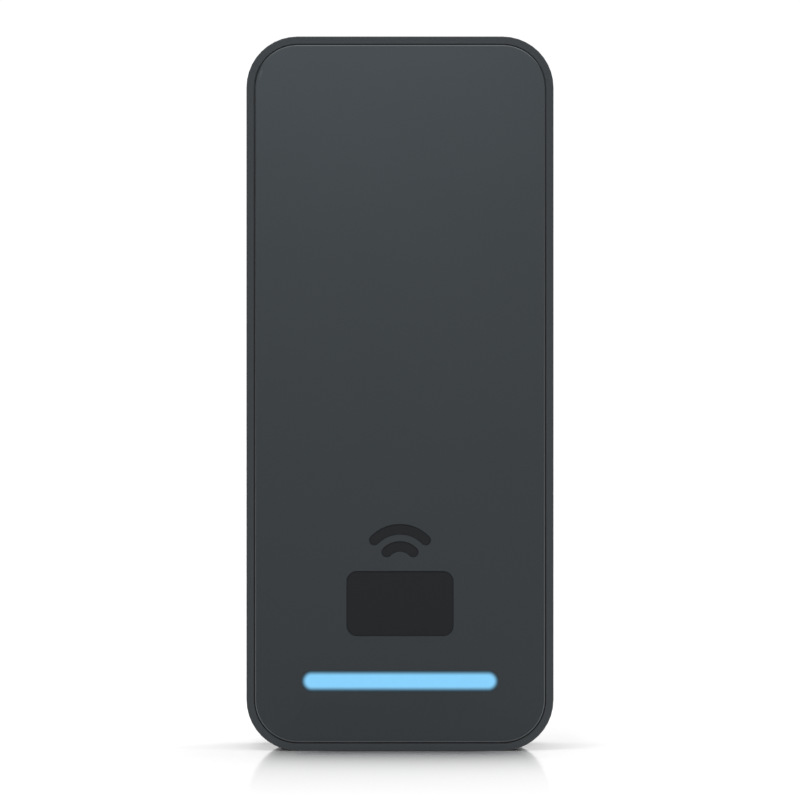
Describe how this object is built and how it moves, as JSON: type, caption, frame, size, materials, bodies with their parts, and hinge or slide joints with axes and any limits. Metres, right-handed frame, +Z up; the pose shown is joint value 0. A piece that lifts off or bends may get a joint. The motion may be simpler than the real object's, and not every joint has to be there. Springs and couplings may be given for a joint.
{
  "type": "rfid card reader",
  "caption": "Slim wall-mounted contactless card reader with a lit status bar, hooked on a steel wall plate and locked by a bottom screw.",
  "frame": {"origin": "on the wall: the wall plate's back face, at the middle of the reader's width and height", "axes": "+Z up along the reader's height, +Y into the wall, so the front faces -Y, and +X to the right seen from the front"},
  "size_m": [0.05, 0.021, 0.1164],
  "materials": {
    "shell": "satin moulded polycarbonate, dark blue-grey",
    "cover": "fine satin moulded polycarbonate, dark blue-grey",
    "emblem": "smooth near-black inlay",
    "lens": "milky diffuser lit light blue",
    "clear": "clear acrylic light guide",
    "white": "white moulded plastic",
    "rubber": "black silicone rubber",
    "board": "glass-epoxy circuit board with green solder mask",
    "copper": "bare copper track",
    "ferrite": "grey sintered ferrite",
    "chip": "black epoxy package",
    "plastic": "black moulded plastic",
    "tin": "tin-plated steel sheet",
    "gold": "gold-plated spring wire",
    "steel": "plain stainless steel",
    "plate": "zinc-plated pressed steel",
    "spring": "bright spring steel",
    "label": "silver polyester label, blank"
  },
  "bodies": {
    "wall_plate": {"wall_plate": "plate"},
    "reader": {"housing": "shell", "front_cover": "cover", "front_seal": "rubber", "emblem_insert": "emblem", "light_bar_lens": "lens", "light_guide": "clear", "light_shield": "white", "led_1": "white", "led_2": "white", "led_3": "white", "led_4": "white", "led_5": "white", "led_6": "white", "main_board": "board", "board_screw_1": "steel", "board_screw_2": "steel", "board_screw_3": "steel", "board_screw_4": "steel", "antenna_board": "board", "antenna_coil": "copper", "antenna_connector": "white", "ferrite_sheet": "ferrite", "processor": "chip", "memory_chip": "chip", "crystal": "tin", "nfc_controller": "chip", "radio_module": "tin", "lan_transformer": "chip", "power_inductor": "ferrite", "power_transformer": "ferrite", "capacitor_1": "tin", "capacitor_2": "tin", "buzzer": "plastic", "acoustic_vent": "white", "jack_housing": "plastic", "jack_shield": "tin", "jack_contacts": "gold", "jack_seal": "rubber", "reset_spring": "spring", "reset_retainer": "steel", "reset_switch": "plastic", "tamper_spring": "spring", "tamper_retainer": "steel", "tamper_switch": "plastic", "wall_seal": "rubber", "rating_label": "label"},
    "screw_ring": {"screw_retaining_ring": "spring"},
    "security_screw": {"security_screw": "steel"},
    "reset_button": {"reset_button": "white"},
    "reset_switch_stem": {"reset_switch_stem": "white"},
    "tamper_plunger": {"tamper_plunger": "plastic"},
    "tamper_switch_stem": {"tamper_switch_stem": "white"}
  },
  "joints": [
    {"name": "reader_swing", "type": "hinge", "parent": "wall_plate", "child": "reader", "pos_m": [0, -0.003, 0.0566], "axis": [-1, 0, 0], "range_deg": [0, 30]},
    {"name": "screw_travel", "type": "slide", "parent": "wall_plate", "child": "screw_ring", "axis": [0, 0, -1], "range_m": [0, 0.0015]},
    {"name": "screw_turn", "type": "hinge", "parent": "screw_ring", "child": "security_screw", "pos_m": [0, -0.0055, -0.05695], "axis": [0, 0, -1], "range_deg": [0, 1080]},
    {"name": "reset_button_press", "type": "slide", "parent": "reader", "child": "reset_button", "axis": [0, -1, 0], "range_m": [0, 0.0006], "stiffness_N_per_m": 300, "springref_m": -0.001, "deforming": ["reset_spring"]},
    {"name": "reset_stem_press", "type": "slide", "parent": "reader", "child": "reset_switch_stem", "axis": [0, -1, 0], "range_m": [0, 0.0004]},
    {"name": "tamper_plunger_release", "type": "slide", "parent": "reader", "child": "tamper_plunger", "axis": [0, 1, 0], "range_m": [0, 0.002], "deforming": ["tamper_spring"]},
    {"name": "tamper_stem_release", "type": "slide", "parent": "reader", "child": "tamper_switch_stem", "axis": [0, 1, 0], "range_m": [0, 0.00025]}
  ],
  "couplings": [
    {"joint": "screw_turn", "follows": "screw_travel", "rad_per_m": 12560},
    {"joint": "reset_stem_press", "follows": "reset_button_press", "ratio": 0.6},
    {"joint": "tamper_plunger_release", "follows": "reader_swing", "m_per_rad": 0.0038},
    {"joint": "tamper_stem_release", "follows": "reader_swing", "m_per_rad": 0.00047}
  ]
}
